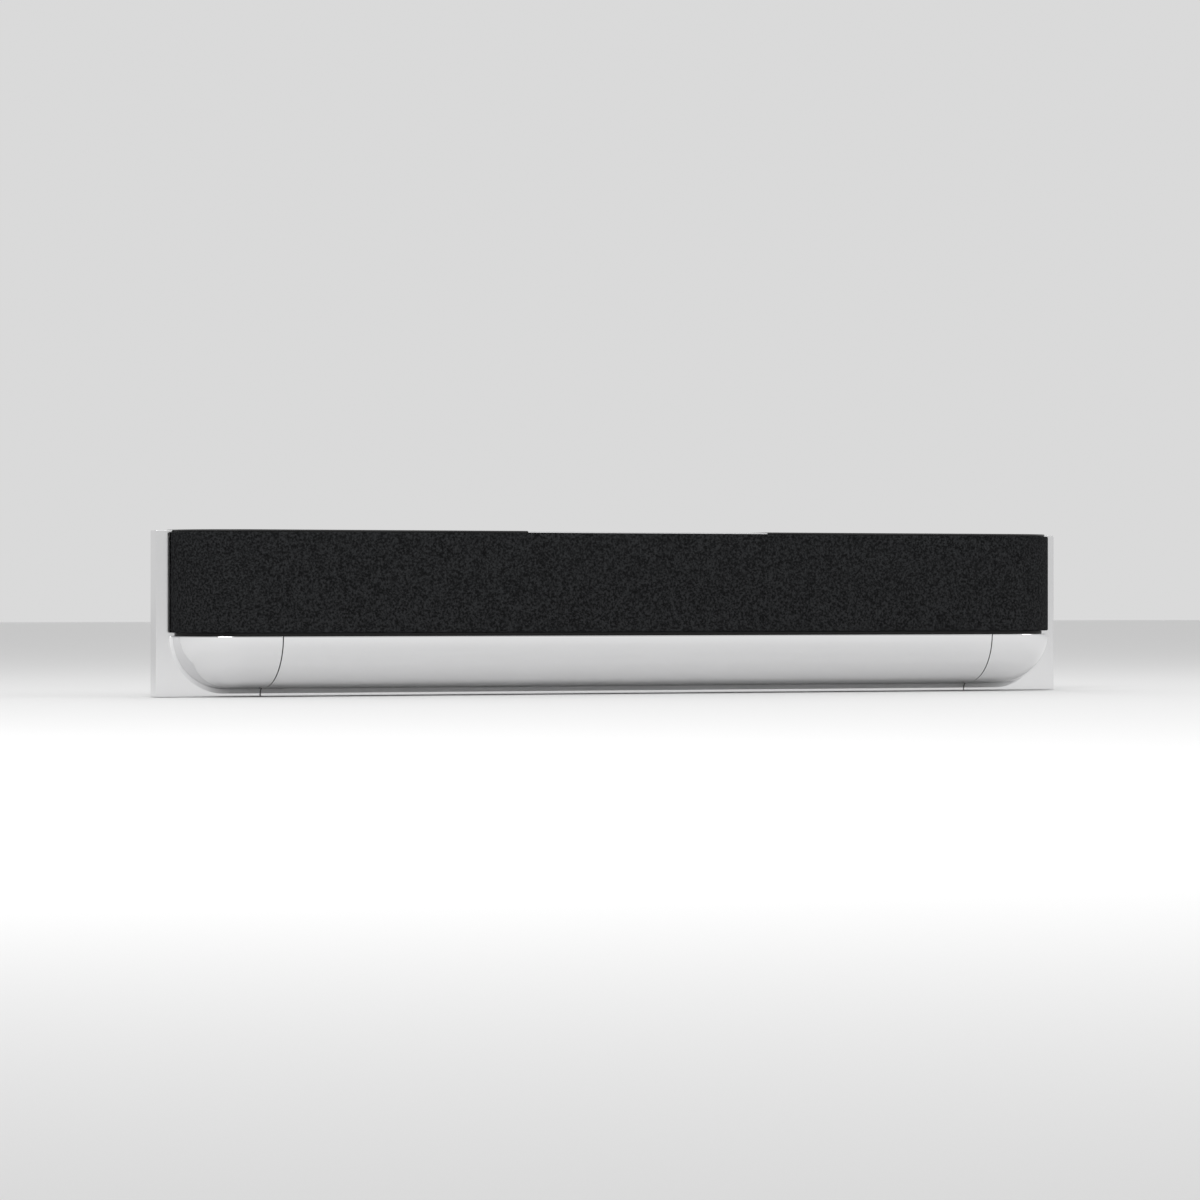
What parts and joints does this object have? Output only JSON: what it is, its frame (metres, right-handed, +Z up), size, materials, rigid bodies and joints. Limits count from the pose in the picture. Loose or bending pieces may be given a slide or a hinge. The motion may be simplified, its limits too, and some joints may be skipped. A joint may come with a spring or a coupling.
{
  "type": "soundbar",
  "caption": "Wide soundbar with a flat aluminium back panel, rounded aluminium keel, pull-off grey cloth front cover, black top grilles and rear connector bay.",
  "frame": {"origin": "middle of the object's footprint at the level of the back panel's lower edge", "axes": "+X along the bar to its right end seen from the front, -Y out of the cloth front, +Z up"},
  "size_m": [1.222, 0.158, 0.197],
  "materials": {
    "satin_aluminium": "satin anodised",
    "control_aluminium": "fine bead-blasted anodised",
    "cover_cloth": "grey melange loudspeaker cloth",
    "cover_plastic": "moulded",
    "baffle_plastic": "fine spark-eroded texture",
    "housing_plastic": "spark-eroded texture",
    "grille_metal": "powder-coated perforated plate",
    "basket_metal": "satin black paint",
    "cone_paper": "coated paper and rubber roll",
    "dome_silk": "coated dome cloth",
    "plate_steel": "zinc plated",
    "board": "solder-masked glass laminate",
    "socket_metal": "black nickel shell",
    "foot_rubber": "matt rubber",
    "light_lens": "clear light guide",
    "button_plastic": "smooth"
  },
  "bodies": {
    "chassis": {"centre_keel_section": "satin_aluminium", "left_end_casting": "satin_aluminium", "right_end_casting": "satin_aluminium", "shadow_gap_deck": "baffle_plastic", "left_top_grille": "grille_metal", "right_top_grille": "grille_metal", "control_panel": "control_aluminium", "status_light": "light_lens", "front_baffle": "baffle_plastic", "rear_housing": "housing_plastic", "connector_panel": "socket_metal", "mains_inlet": "button_plastic", "video_socket_block": "socket_metal", "network_socket_block": "socket_metal", "left_rear_foot": "foot_rubber", "right_rear_foot": "foot_rubber", "left_hanging_plate": "plate_steel", "right_hanging_plate": "plate_steel", "power_supply_board": "board", "amplifier_board": "board", "main_board": "board", "touch_board": "board", "remote_receiver_board": "board", "left_antenna": "board", "right_antenna": "board", "mains_transformer": "plate_steel", "heat_sink": "satin_aluminium", "left_tweeter": "dome_silk", "right_tweeter": "dome_silk", "centre_tweeter": "dome_silk", "centre_midrange_frame": "basket_metal", "left_woofer_frame": "basket_metal", "left_midrange_frame": "basket_metal", "left_side_driver_frame": "basket_metal", "left_upward_driver_frame": "basket_metal", "right_woofer_frame": "basket_metal", "right_midrange_frame": "basket_metal", "right_side_driver_frame": "basket_metal", "right_upward_driver_frame": "basket_metal"},
    "front_cover": {"cover_frame": "cover_plastic", "cover_fabric": "cover_cloth", "left_cover_end": "cover_plastic", "right_cover_end": "cover_plastic", "left_outer_cover_peg": "cover_plastic", "left_inner_cover_peg": "cover_plastic", "right_outer_cover_peg": "cover_plastic", "right_inner_cover_peg": "cover_plastic"},
    "cable_cover": {"cable_cover": "housing_plastic"},
    "setup_button": {"setup_button": "button_plastic"},
    "left_woofer_cone": {"left_woofer_cone": "cone_paper"},
    "right_woofer_cone": {"right_woofer_cone": "cone_paper"},
    "left_midrange_cone": {"left_midrange_cone": "cone_paper"},
    "right_midrange_cone": {"right_midrange_cone": "cone_paper"},
    "left_side_driver_cone": {"left_side_driver_cone": "cone_paper"},
    "right_side_driver_cone": {"right_side_driver_cone": "cone_paper"},
    "left_upward_driver_cone": {"left_upward_driver_cone": "cone_paper"},
    "right_upward_driver_cone": {"right_upward_driver_cone": "cone_paper"},
    "centre_midrange_cone": {"centre_midrange_cone": "cone_paper"}
  },
  "joints": [
    {"name": "cover_pull_off", "type": "slide", "parent": "chassis", "child": "front_cover", "axis": [0, -1, 0], "range_m": [0, 0.12]},
    {"name": "cable_cover_pull_off", "type": "slide", "parent": "chassis", "child": "cable_cover", "axis": [0, 1, 0], "range_m": [0, 0.06]},
    {"name": "setup_button_press", "type": "slide", "parent": "chassis", "child": "setup_button", "axis": [0, -1, 0], "range_m": [0, 0.001], "stiffness_N_per_m": 400},
    {"name": "left_woofer_stroke", "type": "slide", "parent": "chassis", "child": "left_woofer_cone", "axis": [0, -1, 0], "range_m": [-0.004, 0.004], "stiffness_N_per_m": 1500},
    {"name": "right_woofer_stroke", "type": "slide", "parent": "chassis", "child": "right_woofer_cone", "axis": [0, -1, 0], "range_m": [-0.004, 0.004], "stiffness_N_per_m": 1500},
    {"name": "left_midrange_stroke", "type": "slide", "parent": "chassis", "child": "left_midrange_cone", "axis": [0, -1, 0], "range_m": [-0.002, 0.002], "stiffness_N_per_m": 1200},
    {"name": "right_midrange_stroke", "type": "slide", "parent": "chassis", "child": "right_midrange_cone", "axis": [0, -1, 0], "range_m": [-0.002, 0.002], "stiffness_N_per_m": 1200},
    {"name": "left_side_driver_stroke", "type": "slide", "parent": "chassis", "child": "left_side_driver_cone", "axis": [-0.7071, -0.7071, 0], "range_m": [-0.002, 0.002], "stiffness_N_per_m": 1200},
    {"name": "right_side_driver_stroke", "type": "slide", "parent": "chassis", "child": "right_side_driver_cone", "axis": [0.7071, -0.7071, 0], "range_m": [-0.002, 0.002], "stiffness_N_per_m": 1200},
    {"name": "left_upward_driver_stroke", "type": "slide", "parent": "chassis", "child": "left_upward_driver_cone", "axis": [0, 0, 1], "range_m": [-0.002, 0.002], "stiffness_N_per_m": 1200},
    {"name": "right_upward_driver_stroke", "type": "slide", "parent": "chassis", "child": "right_upward_driver_cone", "axis": [0, 0, 1], "range_m": [-0.002, 0.002], "stiffness_N_per_m": 1200},
    {"name": "centre_midrange_stroke", "type": "slide", "parent": "chassis", "child": "centre_midrange_cone", "axis": [0, -1, 0], "range_m": [-0.003, 0.003], "stiffness_N_per_m": 1500}
  ]
}
